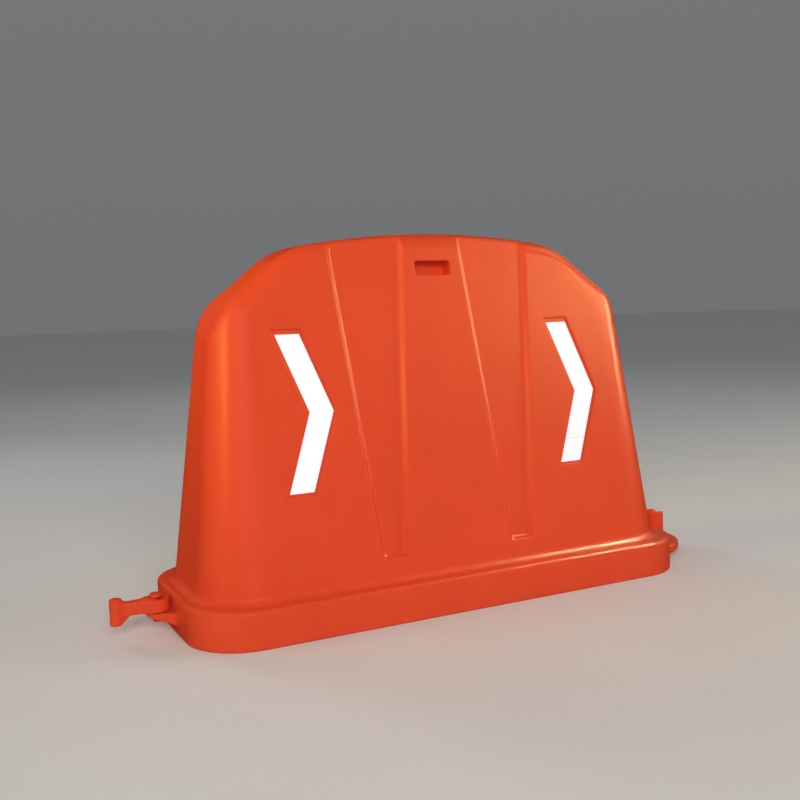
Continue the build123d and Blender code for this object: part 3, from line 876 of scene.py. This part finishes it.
# ------------------------------------------------------------------ receiver sleeve
def f_sleeve(p):
    d = f_cyl(p, 671.0, 0.0, 24.95, 9.0, 93.0, (1.5, 4.0))
    bore = np.hypot(p[..., 0] - 671.0, p[..., 1]) - 14.5
    bore = rmax(bore, 22.0 - p[..., 2], 2.0)
    slot = np.maximum(np.abs(p[..., 1]) - 9.5, 671.0 - p[..., 0])
    slot = rmax(slot, 41.0 - p[..., 2], 3.0)
    mouth = np.maximum((np.abs(p[..., 1]) - 9.5 - (p[..., 2] - 80.0) * 7.5 / 13.0) * 0.866, 679.0 - p[..., 0])
    mouth = np.maximum(mouth, 70.0 - p[..., 2])
    return rmax(d, -np.minimum(np.minimum(bore, slot), mouth), 1.2)


b = Builder()
add_net(b, f_sleeve, (645, -26, 8), (697, 26, 94), 1.0)
sleeve = b.make("receiver_sleeve_skin")
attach(sleeve, "barrier")
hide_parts("receiver_sleeve")


# ------------------------------------------------------------------ swinging link
def f_link(p):
    x, y, z = p[..., 0], p[..., 1], p[..., 2]
    kn = f_cyl(p, -624.0, 0.0, 26.0, 46.4, 72.6, 2.5)
    w = 8.5 + (18.0 - 8.5) * np.clip((x + 699.0) / 65.0, 0, 1) ** 1.4
    arm = rmax(np.abs(y) - w, np.abs(z - 59.5) - 13.1, 3.0)
    arm = np.maximum(arm, np.maximum(-705.0 - x, x + 630.0))
    tee = f_cyl(p, -705.0, 0.0, 12.47, 28.0, 83.0, 4.0)
    d = rmin(kn, arm, 7.0)
    gus = np.maximum(half(-688.5, 35.0, -675.5, 48.4, x, z), 35.0 - z)
    gus = rmax(np.abs(y) - 6.0, np.maximum(gus, np.maximum(z - 50.0, -705.0 - x)), 1.5)
    lip = half(-679.5, 70.6, -688.5, 76.0, x, z)
    lip = rmax(np.abs(y) - 6.0, np.maximum(lip, np.maximum(z - 76.0, np.maximum(-705.0 - x, 66.0 - z))), 1.5)
    d = rmin(d, gus, 3.0)
    d = rmin(d, lip, 3.0)
    d = rmin(d, tee, 5.0)
    bore = np.hypot(x + 624.0, y) - 11.0
    return rmax(d, -bore, 0.8)


b = Builder()
add_net(b, f_link, (-720, -27, 26), (-597, 27, 85), 1.15)
link = b.make("coupling_link_skin")
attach(link, "link")
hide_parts("coupling_link")


# ------------------------------------------------------------------ small fittings
def place(ob, body, node):
    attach(ob, body)
    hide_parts(node)
    return ob


def arc(cx, cz, r, a0, a1, n):
    return [(cx + r * math.cos(math.radians(a)), cz + r * math.sin(math.radians(a))) for a in np.linspace(a0, a1, n)]


PIN = (-624.0, 0.0, 0.0)
b = Builder()
lathe(b, [(6.6, 24.0), (7.6, 24.4), (8.0, 25.4), (8.0, 74.4), (8.3, 75.0), (12.5, 75.0), (13.0, 75.5), (13.0, 76.6)]
      + arc(8.0, 78.0, 5.0, 0, 90, 9) + [(4.6, 83.0), (3.6, 82.9), (2.8, 82.5), (1.2, 82.35)], 64, at=PIN, solid=True)
pin = place(b.make("hinge_pin_skin", 50), "barrier", "coupling_hinge_pin")
b = Builder()
lathe(b, ring_profile(12.5, 8.3, 73.0, 75.0, 0.4), 64, at=PIN)
top_washer = place(b.make("top_washer_skin", 30), "barrier", "hinge_top_washer")
b = Builder()
lathe(b, ring_profile(20.0, 8.3, 44.0, 46.0, 0.45), 72, at=PIN)
thrust_washer = place(b.make("thrust_washer_skin", 30), "barrier", "hinge_thrust_washer")
b = Builder()
lathe(b, ring_profile(11.0, 8.06, 46.4, 72.6, 0.5), 64, at=PIN)
bush = place(b.make("link_bush_skin", 30), "link", "link_bush")


def thread(base, z, lo, hi, pitch=4.0, deep=0.7):
    """radius of a raised screw thread at height z, fading out at both ends"""
    def r(ang):
        ph = (z / pitch - ang / (2 * math.pi)) % 1.0
        tooth = np.clip(1.7 * (1 - np.abs(2 * ph - 1)) - 0.35, 0, 1)
        return base + deep * tooth * np.clip(min(z - lo, hi - z) / 1.5, 0, 1)
    return r


b = Builder()
prof = [(20.6, 745.0), (24.4, 745.0), (25.0, 745.6), (25.0, 769.6), (25.4, 770.0), (30.5, 770.0), (31.0, 770.5), (31.0, 772.4),
        (30.4, 773.0), (25.8, 773.0), (25.1, 773.6)]
prof += [(thread(25.0, z, 773.9, 785.8), z) for z in np.arange(774.0, 785.9, 0.3)]
prof += [(25.0, 786.2), (24.3, 787.0), (20.7, 787.0), (20.0, 786.3), (20.0, 745.6)]
lathe(b, prof, 96)
neck = place(b.make("fill_neck_skin", 35), "barrier", "fill_neck_insert")
b = Builder()
lathe(b, [(21.2, 787.0), (24.3, 787.0), (24.8, 787.3), (25.0, 787.8), (25.0, 788.2), (24.8, 788.7), (24.3, 789.0),
          (21.2, 789.0), (20.7, 788.7), (20.5, 788.2), (20.5, 787.8), (20.7, 787.3)], 72)
fill_gasket = place(b.make("fill_gasket_skin"), "fill_gasket", "fill_cap_gasket")


def f_box(u, v, w, hu, hv, w0, w1, r):
    d = rmax(np.abs(u) - hu, np.abs(v) - hv, r)
    return rmax(rmax(d, w - w1, r), w0 - w, 0.01)


def f_cap(p):
    x, y, z = p[..., 0], p[..., 1], p[..., 2]
    rad, ang = np.hypot(x, y), np.arctan2(y, x)
    step = math.pi / 12
    a = (ang + step / 2) % step - step / 2
    d = rmax(rad - 33.0, z - 794.0, 2.0)
    d = rmax(d, 775.5 - z, 0.8)
    groove = np.hypot(rad * np.cos(a) - 33.9, rad * np.sin(a)) - 2.0
    d = rmax(d, -rmax(groove, z - 790.0, 1.0), 0.5)
    # grip cross, its arms a little waisted
    for u, v in ((x, y), (y, x)):
        bar = f_box(u, v, z, 27.0, 4.5 - 0.5 * np.clip(1 - np.abs(u) / 14.0, 0, 1), 793.0, 799.0, 1.6)
        d = rmin(d, bar, 1.4)
    skirt = rmax(rad - 26.0, z - 789.0, 0.8)
    return rmax(d, -skirt, 0.6)


b = Builder()
add_net(b, f_cap, (-33.2, -33.2, 775.3), (33.2, 33.2, 799.2), 0.8)
cap = place(b.make("fill_cap_skin"), "fill_cap", "fill_cap")

DRAIN = (300.0, 226.0, 36.0)
b = Builder()
lathe(b, [(11.8, -46.0), (14.2, -46.0), (15.0, -45.2), (15.0, -18.4), (15.4, -18.0), (18.5, -18.0), (19.0, -17.5), (19.0, -15.6), (18.4, -15.0),
          (11.8, -15.0), (11.0, -15.7), (11.0, -45.2)], 72, "y", DRAIN)
drain_bush = place(b.make("drain_bush_skin", 35), "barrier", "drain_bush")
b = Builder()
lathe(b, [(12.2, -15.0), (16.3, -15.0), (16.8, -14.7), (17.0, -14.2), (17.0, -13.8), (16.8, -13.3), (16.3, -13.0), (12.2, -13.0), (11.7, -13.3),
          (11.5, -13.8), (11.5, -14.2), (11.7, -14.7)], 72, "y", DRAIN)
drain_gasket = place(b.make("drain_gasket_skin"), "drain_gasket", "drain_plug_gasket")


def f_plug(p):
    u, d_, v = p[..., 0] - 300.0, p[..., 1] - 226.0, p[..., 2] - 36.0
    rad = np.hypot(u, v)
    head = rmax(rmax(rad - 20.0, d_ + 8.0, 1.8), -13.0 - d_, 0.6)
    shank = rmax(rmax(rad - 10.94, d_ + 12.0, 0.01), -42.0 - d_, 1.2)
    grip = f_box(u, v, d_, 17.0, 4.0 - 0.5 * np.clip(1 - np.abs(u) / 10.0, 0, 1), -9.0, -3.0, 1.6)
    f = rmin(head, grip, 1.5)
    return rmin(f, shank, 0.3)


b = Builder()
add_net(b, f_plug, (279.8, 183.8, 15.8), (320.2, 223.2, 56.2), 0.8)
plug = place(b.make("drain_plug_skin"), "drain_plug", "drain_plug")


# ------------------------------------------------------------------ materials
def new_mat(name):
    m = bpy.data.materials.new(name)
    m.use_nodes = True
    nt = m.node_tree
    nt.nodes.clear()
    out = nt.nodes.new("ShaderNodeOutputMaterial")
    bsdf = nt.nodes.new("ShaderNodeBsdfPrincipled")
    nt.links.new(bsdf.outputs[0], out.inputs[0])
    return m, nt, bsdf


class Nodes:
    """short hand for wiring one material's procedural network"""

    def __init__(self, nt, coords="Object"):
        self.nt = nt
        self.co = nt.nodes.new("ShaderNodeTexCoord").outputs[coords]

    def link(self, a, b):
        self.nt.links.new(a, b)

    def noise(self, scale, detail=2.0, rough=0.5, vec=None):
        n = self.nt.nodes.new("ShaderNodeTexNoise")
        n.inputs["Scale"].default_value = scale
        n.inputs["Detail"].default_value = detail
        n.inputs["Roughness"].default_value = rough
        self.link(self.co if vec is None else vec, n.inputs["Vector"])
        return n.outputs["Fac"]

    def mapping(self, scale=(1, 1, 1), turn=(0, 0, 0)):
        n = self.nt.nodes.new("ShaderNodeMapping")
        n.inputs["Scale"].default_value = scale
        n.inputs["Rotation"].default_value = turn
        self.link(self.co, n.inputs["Vector"])
        return n.outputs[0]

    def span(self, val, a, b, c=0.0, d=1.0):
        n = self.nt.nodes.new("ShaderNodeMapRange")
        n.inputs["From Min"].default_value, n.inputs["From Max"].default_value = a, b
        n.inputs["To Min"].default_value, n.inputs["To Max"].default_value = c, d
        self.link(val, n.inputs["Value"])
        return n.outputs[0]

    def math(self, op, a, b):
        n = self.nt.nodes.new("ShaderNodeMath")
        n.operation = op
        for k, v in enumerate((a, b)):
            if isinstance(v, (int, float)):
                n.inputs[k].default_value = v
            else:
                self.link(v, n.inputs[k])
        return n.outputs[0]

    def ramp(self, val, stops):
        n = self.nt.nodes.new("ShaderNodeValToRGB")
        e = n.color_ramp.elements
        while len(e) < len(stops):
            e.new(0.5)
        for k, (pos, col) in enumerate(stops):
            e[k].position = pos
            e[k].color = (*col, 1)
        self.link(val, n.inputs[0])
        return n.outputs[0]

    def blend(self, fac, a, b):
        n = self.nt.nodes.new("ShaderNodeMix")
        n.data_type = "RGBA"
        self.link(fac, n.inputs["Factor"])
        for name, v in (("A", a), ("B", b)):
            sock = [q for q in n.inputs if q.name == name and q.type == "RGBA"][0]
            if isinstance(v, tuple):
                sock.default_value = (*v, 1)
            else:
                self.link(v, sock)
        return [q for q in n.outputs if q.type == "RGBA"][0]

    def bump(self, height, distance, strength=1.0, under=None):
        n = self.nt.nodes.new("ShaderNodeBump")
        n.inputs["Distance"].default_value = distance
        n.inputs["Strength"].default_value = strength
        self.link(height, n.inputs["Height"])
        if under is not None:
            self.link(under, n.inputs["Normal"])
        return n.outputs[0]

    def height(self):
        n = self.nt.nodes.new("ShaderNodeSeparateXYZ")
        self.link(self.co, n.inputs[0])
        return n.outputs["Z"]

    def facing_up(self):
        g = self.nt.nodes.new("ShaderNodeNewGeometry")
        n = self.nt.nodes.new("ShaderNodeSeparateXYZ")
        self.link(g.outputs["True Normal"], n.inputs[0])
        return n.outputs["Z"]


def orange_plastic():
    m, nt, bsdf = new_mat("orange_polyethylene")
    k = Nodes(nt)
    broad = k.noise(3.4, 4.0, 0.55)
    cloud = k.noise(21.0, 3.0, 0.55)
    runs = k.noise(1.0, 4.0, 0.6, k.mapping((30, 30, 2.4)))
    tone = k.math("ADD", k.math("MULTIPLY", broad, 0.5), k.math("ADD", k.math("MULTIPLY", cloud, 0.25), k.math("MULTIPLY", runs, 0.25)))
    # dye tone, set slightly lighter so it also carries a painted reflection of the sky, which the world no longer
    # casts in gloss
    col = k.ramp(tone, [(0.36, (0.765, 0.067, 0.020)), (0.5, (0.80, 0.0715, 0.0215)), (0.66, (0.83, 0.077, 0.0235))])
    # pale rub marks, fine and slanting, gathered in patches
    rub_a = k.noise(1.0, 3.0, 0.65, k.mapping((22, 22, 520), (0.35, 0.0, 0.2)))
    rub_b = k.noise(1.0, 3.0, 0.65, k.mapping((460, 460, 16), (0.12, 0.16, 0.0)))
    rub = k.math("MAXIMUM", k.span(rub_a, 0.66, 0.72), k.span(rub_b, 0.67, 0.73))
    rub = k.math("MULTIPLY", rub, k.span(k.noise(5.5, 3.0, 0.6), 0.5, 0.66))
    col = k.blend(k.math("MULTIPLY", rub, 0.07), col, (0.9, 0.2, 0.1))
    # thin dust where it can lie, scuffed dirt along the foot
    dust = k.math("MULTIPLY", k.span(k.facing_up(), 0.8, 1.0), k.span(k.noise(34.0, 5.0, 0.65), 0.35, 0.75))
    col = k.blend(k.math("MULTIPLY", dust, 0.08), col, (0.62, 0.3, 0.18))
    foot = k.math("MULTIPLY", k.span(k.height(), 0.034, 0.002), k.span(k.noise(48.0, 5.0, 0.7), 0.4, 0.68))
    col = k.blend(k.math("MULTIPLY", foot, 0.12), col, (0.24, 0.05, 0.022))
    k.link(col, bsdf.inputs["Base Color"])
    rough = k.span(k.math("ADD", k.math("MULTIPLY", cloud, 0.6), k.math("MULTIPLY", runs, 0.4)), 0.3, 0.7, 0.29, 0.35)
    rough = k.math("ADD", rough, k.math("MULTIPLY", k.math("MAXIMUM", rub, k.math("MAXIMUM", dust, foot)), 0.03))
    k.link(rough, bsdf.inputs["Roughness"])
    bsdf.inputs["Specular IOR Level"].default_value = 0.45
    n = k.bump(k.noise(6.0, 1.5, 0.4), 0.0016)
    n = k.bump(k.noise(240.0, 2.0, 0.5), 0.000022, 1.0, n)
    n = k.bump(k.noise(1500.0, 1.0, 0.5), 0.000006, 1.0, n)
    k.link(n, bsdf.inputs["Normal"])
    return m


def retro_sheet():
    """white prismatic film: a fine diamond lattice of sealed cells under a smooth face, with a painted glow standing
    in for the light it sends back
    """
    m, nt, bsdf = new_mat("reflective_sheet")
    k = Nodes(nt)

    def lines(turn):
        w = nt.nodes.new("ShaderNodeTexWave")
        w.wave_type, w.bands_direction, w.wave_profile = "BANDS", "X", "SIN"
        w.inputs["Scale"].default_value = 55.0
        w.inputs["Distortion"].default_value = 0.0
        k.link(k.mapping((1, 1, 1), (0, turn, 0)), w.inputs["Vector"])
        return k.span(w.outputs["Fac"], 0.93, 0.99)

    lattice = k.math("MAXIMUM", lines(0.55), lines(-0.55))
    grain = k.noise(900.0, 2.0)
    cloud = k.noise(14.0, 3.0)
    col = k.ramp(cloud, [(0.3, (0.83, 0.87, 0.93)), (0.7, (0.87, 0.905, 0.965))])
    col = k.blend(k.math("MULTIPLY", lattice, 0.3), col, (0.80, 0.81, 0.82))
    k.link(col, bsdf.inputs["Base Color"])
    k.link(k.span(cloud, 0.3, 0.7, 0.16, 0.26), bsdf.inputs["Roughness"])
    n = k.bump(lattice, 0.00006)
    n = k.bump(grain, 0.00001, 1.0, n)
    k.link(n, bsdf.inputs["Normal"])
    # painted glow: the film emits its own colour, standing in for retroreflected light
    k.link(col, bsdf.inputs["Emission Color"])
    bsdf.inputs["Emission Strength"].default_value = 0.30
    return m


def coated_steel():
    m, nt, bsdf = new_mat("orange_coated_steel")
    k = Nodes(nt)
    cloud = k.noise(160.0, 3.0, 0.6)
    col = k.ramp(cloud, [(0.3, (0.72, 0.056, 0.011)), (0.7, (0.82, 0.070, 0.015))])
    chip = k.math("MULTIPLY", k.span(k.noise(420.0, 4.0, 0.65), 0.66, 0.70), k.span(k.noise(90.0, 2.0), 0.5, 0.6))
    col = k.blend(chip, col, (0.30, 0.29, 0.28))
    k.link(col, bsdf.inputs["Base Color"])
    k.link(k.math("MULTIPLY", chip, 0.9), bsdf.inputs["Metallic"])
    k.link(k.span(cloud, 0.3, 0.7, 0.26, 0.4), bsdf.inputs["Roughness"])
    n = k.bump(k.noise(700.0, 2.0), 0.00005)
    n = k.bump(chip, 0.0001, 0.6, n)
    k.link(n, bsdf.inputs["Normal"])
    return m


def nylon():
    m, nt, bsdf = new_mat("black_nylon")
    k = Nodes(nt)
    cloud = k.noise(45.0, 4.0, 0.6)
    col = k.ramp(cloud, [(0.3, (0.014, 0.0142, 0.0155)), (0.7, (0.028, 0.028, 0.029))])
    dust = k.math("MULTIPLY", k.span(k.facing_up(), 0.7, 1.0), k.span(k.noise(130.0, 4.0, 0.6), 0.45, 0.75))
    col = k.blend(k.math("MULTIPLY", dust, 0.22), col, (0.16, 0.145, 0.13))
    k.link(col, bsdf.inputs["Base Color"])
    k.link(k.span(cloud, 0.3, 0.7, 0.42, 0.58), bsdf.inputs["Roughness"])
    n = k.bump(k.noise(1400.0, 2.0, 0.6), 0.00004)
    k.link(n, bsdf.inputs["Normal"])
    return m


def rubber():
    m, nt, bsdf = new_mat("black_rubber")
    k = Nodes(nt)
    cloud = k.noise(80.0, 4.0, 0.6)
    k.link(k.ramp(cloud, [(0.3, (0.011, 0.011, 0.011)), (0.7, (0.024, 0.0235, 0.023))]), bsdf.inputs["Base Color"])
    k.link(k.span(cloud, 0.3, 0.7, 0.7, 0.86), bsdf.inputs["Roughness"])
    k.link(k.bump(k.noise(800.0, 3.0, 0.6), 0.00004), bsdf.inputs["Normal"])
    return m


ORANGE, SHEET, STEEL, NYLON, RUBBER = orange_plastic(), retro_sheet(), coated_steel(), nylon(), rubber()


def paint(ob, mat):
    ob.data.materials.clear()
    ob.data.materials.append(mat)


for ob in (shell, bracket, tongue, sleeve, link):
    paint(ob, ORANGE)
paint(pin, STEEL)
for ob in (top_washer, thrust_washer, bush, neck, cap, drain_bush, plug):
    paint(ob, NYLON)
for ob in (fill_gasket, drain_gasket):
    paint(ob, RUBBER)
for name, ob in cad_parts.items():
    if "chevron" in name:
        paint(ob, SHEET)
        mod = ob.modifiers.new("soft_edge", "BEVEL")
        mod.width, mod.segments, mod.limit_method = 0.00045, 2, "ANGLE"

# ------------------------------------------------------------------ stage, light and camera
fl = bpy.data.meshes.new("floor")
ring = [(40 * math.cos(a), 40 * math.sin(a), 0.0) for a in np.linspace(0, 2 * math.pi, 97)[:-1]]
fl.from_pydata(ring, [], [list(range(96))])
floor = bpy.data.objects.new("floor", fl)
bpy.context.scene.collection.objects.link(floor)
fm, fnt, fb = new_mat("floor_pale")
k = Nodes(fnt)
tone = k.math("ADD", k.math("MULTIPLY", k.noise(3.0, 3.0), 0.5), k.math("MULTIPLY", k.noise(70.0, 4.0), 0.5))
k.link(k.ramp(tone, [(0.3, (0.76, 0.76, 0.765)), (0.7, (0.79, 0.79, 0.795))]), fb.inputs["Base Color"])
fb.inputs["Roughness"].default_value = 0.85
fb.inputs["Specular IOR Level"].default_value = 0.15
floor.data.materials.append(fm)
floor.visible_glossy = False

world = bpy.data.worlds.new("studio")
bpy.context.scene.world = world
world.use_nodes = True
sky = world.node_tree.nodes["Background"]
sky.inputs[0].default_value = (0.95, 0.98, 1, 1)
k = Nodes(world.node_tree, "Generated")
sky_up = k.span(k.height(), 0.0, 1.0, 0.17, 0.22)
k.link(k.math("MULTIPLY", sky_up, k.span(k.height(), -0.06, -0.03)), sky.inputs[1])
# the sky is kept out of reflections; the orange base colour carries a painted stand-in for it
world.cycles_visibility.glossy = False


def area(name, loc, target, size, power, colour=(1, 1, 1), spread=180, sees="both"):
    d = bpy.data.lights.new(name, "AREA")
    d.shape = "RECTANGLE"
    d.size, d.size_y = size
    d.energy = power
    d.color = colour
    d.spread = math.radians(spread)
    o = bpy.data.objects.new(name, d)
    o.location = loc
    o.rotation_euler = (Vector(target) - Vector(loc)).to_track_quat("-Z", "Y").to_euler()
    o.visible_camera = False
    o.visible_glossy = sees != "diffuse"
    o.visible_diffuse = sees != "glossy"
    bpy.context.scene.collection.objects.link(o)
    return o


area("key", (-1.9, -4.8, 2.6), (0, 0, 0.5), (4.2, 2.0), 194, (1.0, 0.95, 0.87), 180, "diffuse")
area("key_sheen", (-1.9, -4.8, 2.6), (0, 0, 0.5), (4.2, 2.0), 44, (1.0, 0.80, 0.55), 180, "glossy")
area("right_fill", (4.6, -1.5, 2.0), (0, 0, 0.5), (1.6, 1.6), 44, (1.0, 0.95, 0.88), 180, "diffuse")
area("back_left", (-1.9, 5.0, 2.2), (0, 0.1, 0.4), (1.6, 1.6), 7.5, (1.0, 0.97, 0.93), 60, "diffuse")
area("back", (0.9, 5.0, 4.0), (0, 0, 0.3), (2.4, 2.4), 16, (1.0, 0.97, 0.93), 180, "diffuse")
area("left_fill", (-3.4, 1.2, 2.0), (-0.55, 0, 0.8), (0.8, 0.8), 1.4, (1.0, 0.86, 0.6), 60, "diffuse")
area("left_warm", (-2.9, 0.3, 1.5), (-0.5, 0.0, 1.04), (1.2, 0.9), 3.4, (1.0, 0.72, 0.14), 46, "diffuse")
area("left_front", (-3.0, -0.85, 1.25), (0.1, -0.15, 0.7), (0.6, 0.7), 0.68, (1.0, 0.68, 0.12), 30, "glossy")
area("left_shoulder", (-0.94, 3.4, 2.54), (-0.5, 0, 0.62), (1.0, 1.0), 4.0, (1.0, 0.3, 0.04), 180, "glossy")
area("right_box", (3.0, -2.4, 1.75), (0.45, -0.1, 0.8), (0.9, 0.7), 1.55, (1.0, 0.84, 0.34), 30, "glossy")
area("right_rim", (3.2, -0.72, 1.22), (0.5, -0.1, 0.62), (0.4, 0.96), 1.15, (1.0, 0.84, 0.44), 30, "glossy")
area("top_right", (1.9, -0.75, 1.8), (0.40, -0.2, 0.1), (0.3, 0.3), 1.65, (1.0, 0.84, 0.5), 26, "glossy")
area("top_side", (2.3, -0.36, 2.6), (0.3, -0.08, 0.7), (1.4, 0.8), 1.2, (1.0, 0.9, 0.32), 60, "glossy")
area("rim_back", (3.05, 1.85, 1.8), (0.35, 0, 0.75), (1.6, 1.2), 4.2, (1.0, 0.8, 0.5), 180, "glossy")
area("right_low", (3.2, 0.15, 0.55), (0.5, -0.1, 0.4), (0.5, 0.5), 0.04, (1.0, 0.3, 0.1), 30, "glossy")

CAM = np.array([-1067.0, -2021.0, 646.0])
YAW, PITCH, ROLL, FOC = 0.4646, 0.09331, -0.03433, 1009.0
fwd = np.array([math.sin(YAW) * math.cos(PITCH), math.cos(YAW) * math.cos(PITCH), -math.sin(PITCH)])
right = np.array([math.cos(YAW), -math.sin(YAW), 0.0])
upv = np.cross(right, fwd)
r2 = math.cos(ROLL) * right + math.sin(ROLL) * upv
u2 = -math.sin(ROLL) * right + math.cos(ROLL) * upv
cam = bpy.data.cameras.new("camera")
cam.sensor_width = 36.0
cam.lens = FOC / 800.0 * 36.0
cam_o = bpy.data.objects.new("camera", cam)
M = Matrix.Identity(4)
for r in range(3):
    M[r][0], M[r][1], M[r][2], M[r][3] = r2[r], u2[r], -fwd[r], CAM[r] * MM
cam_o.matrix_world = M
bpy.context.scene.collection.objects.link(cam_o)
bpy.context.scene.camera = cam_o
bpy.context.scene.view_settings.view_transform = "Standard"
